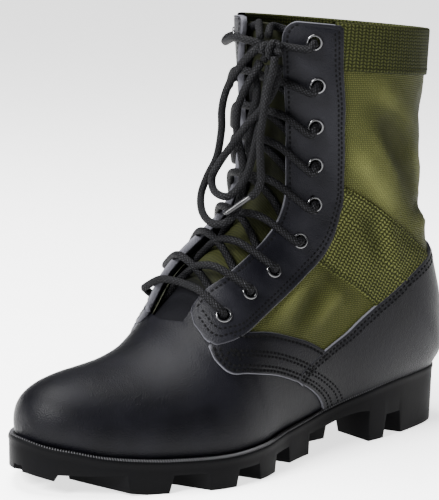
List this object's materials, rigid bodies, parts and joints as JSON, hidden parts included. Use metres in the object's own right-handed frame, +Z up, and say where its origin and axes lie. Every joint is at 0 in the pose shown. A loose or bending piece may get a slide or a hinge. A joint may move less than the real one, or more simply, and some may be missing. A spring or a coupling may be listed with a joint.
{
  "type": "lace-up jungle boot",
  "caption": "High lace-up work boot for the left foot, leather and woven upper on a deep lugged rubber sole, laced and tied in a bow.",
  "frame": {"origin": "on the floor, at the middle of the sole's outline box", "axes": "+X to the wearer's left, the lateral side, toe at -Y, heel at +Y, +Z up; the sole's lugs stand on z = 0"},
  "size_m": [0.1114, 0.305, 0.252],
  "materials": {
    "black_leather": "smooth satin",
    "olive_nylon": "fine weave, satin",
    "olive_webbing": "coarse ribbed weave",
    "black_rubber": "matte",
    "black_enamel": "gloss",
    "black_cord": "round braid",
    "insole_felt": "matte"
  },
  "bodies": {
    "root": {"ankle_band_lateral": "olive_webbing", "ankle_band_medial": "olive_webbing", "bow_end_long": "black_cord", "bow_end_short": "black_cord", "bow_knot": "black_cord", "bow_loop_inner": "black_cord", "bow_loop_outer": "black_cord", "collar_band": "olive_webbing", "eyelet_lateral_1": "black_enamel", "eyelet_lateral_2": "black_enamel", "eyelet_lateral_3": "black_enamel", "eyelet_lateral_4": "black_enamel", "eyelet_lateral_5": "black_enamel", "eyelet_lateral_6": "black_enamel", "eyelet_lateral_7": "black_enamel", "eyelet_lateral_8": "black_enamel", "eyelet_lateral_9": "black_enamel", "eyelet_medial_1": "black_enamel", "eyelet_medial_2": "black_enamel", "eyelet_medial_3": "black_enamel", "eyelet_medial_4": "black_enamel", "eyelet_medial_5": "black_enamel", "eyelet_medial_6": "black_enamel", "eyelet_medial_7": "black_enamel", "eyelet_medial_8": "black_enamel", "eyelet_medial_9": "black_enamel", "eyestay_lateral": "black_leather", "eyestay_medial": "black_leather", "heel_counter": "black_leather", "insole": "insole_felt", "lace_bar": "black_cord", "lace_cross_1": "black_cord", "lace_cross_2": "black_cord", "lace_cross_3": "black_cord", "lace_cross_4": "black_cord", "lace_cross_5": "black_cord", "lace_cross_6": "black_cord", "lace_cross_7": "black_cord", "lace_cross_8": "black_cord", "lace_lead_lateral": "black_cord", "lace_lead_medial": "black_cord", "outsole": "black_rubber", "side_panel_lateral": "black_leather", "side_panel_medial": "black_leather", "tongue": "olive_nylon", "upper": "olive_nylon"}
  },
  "joints": []
}
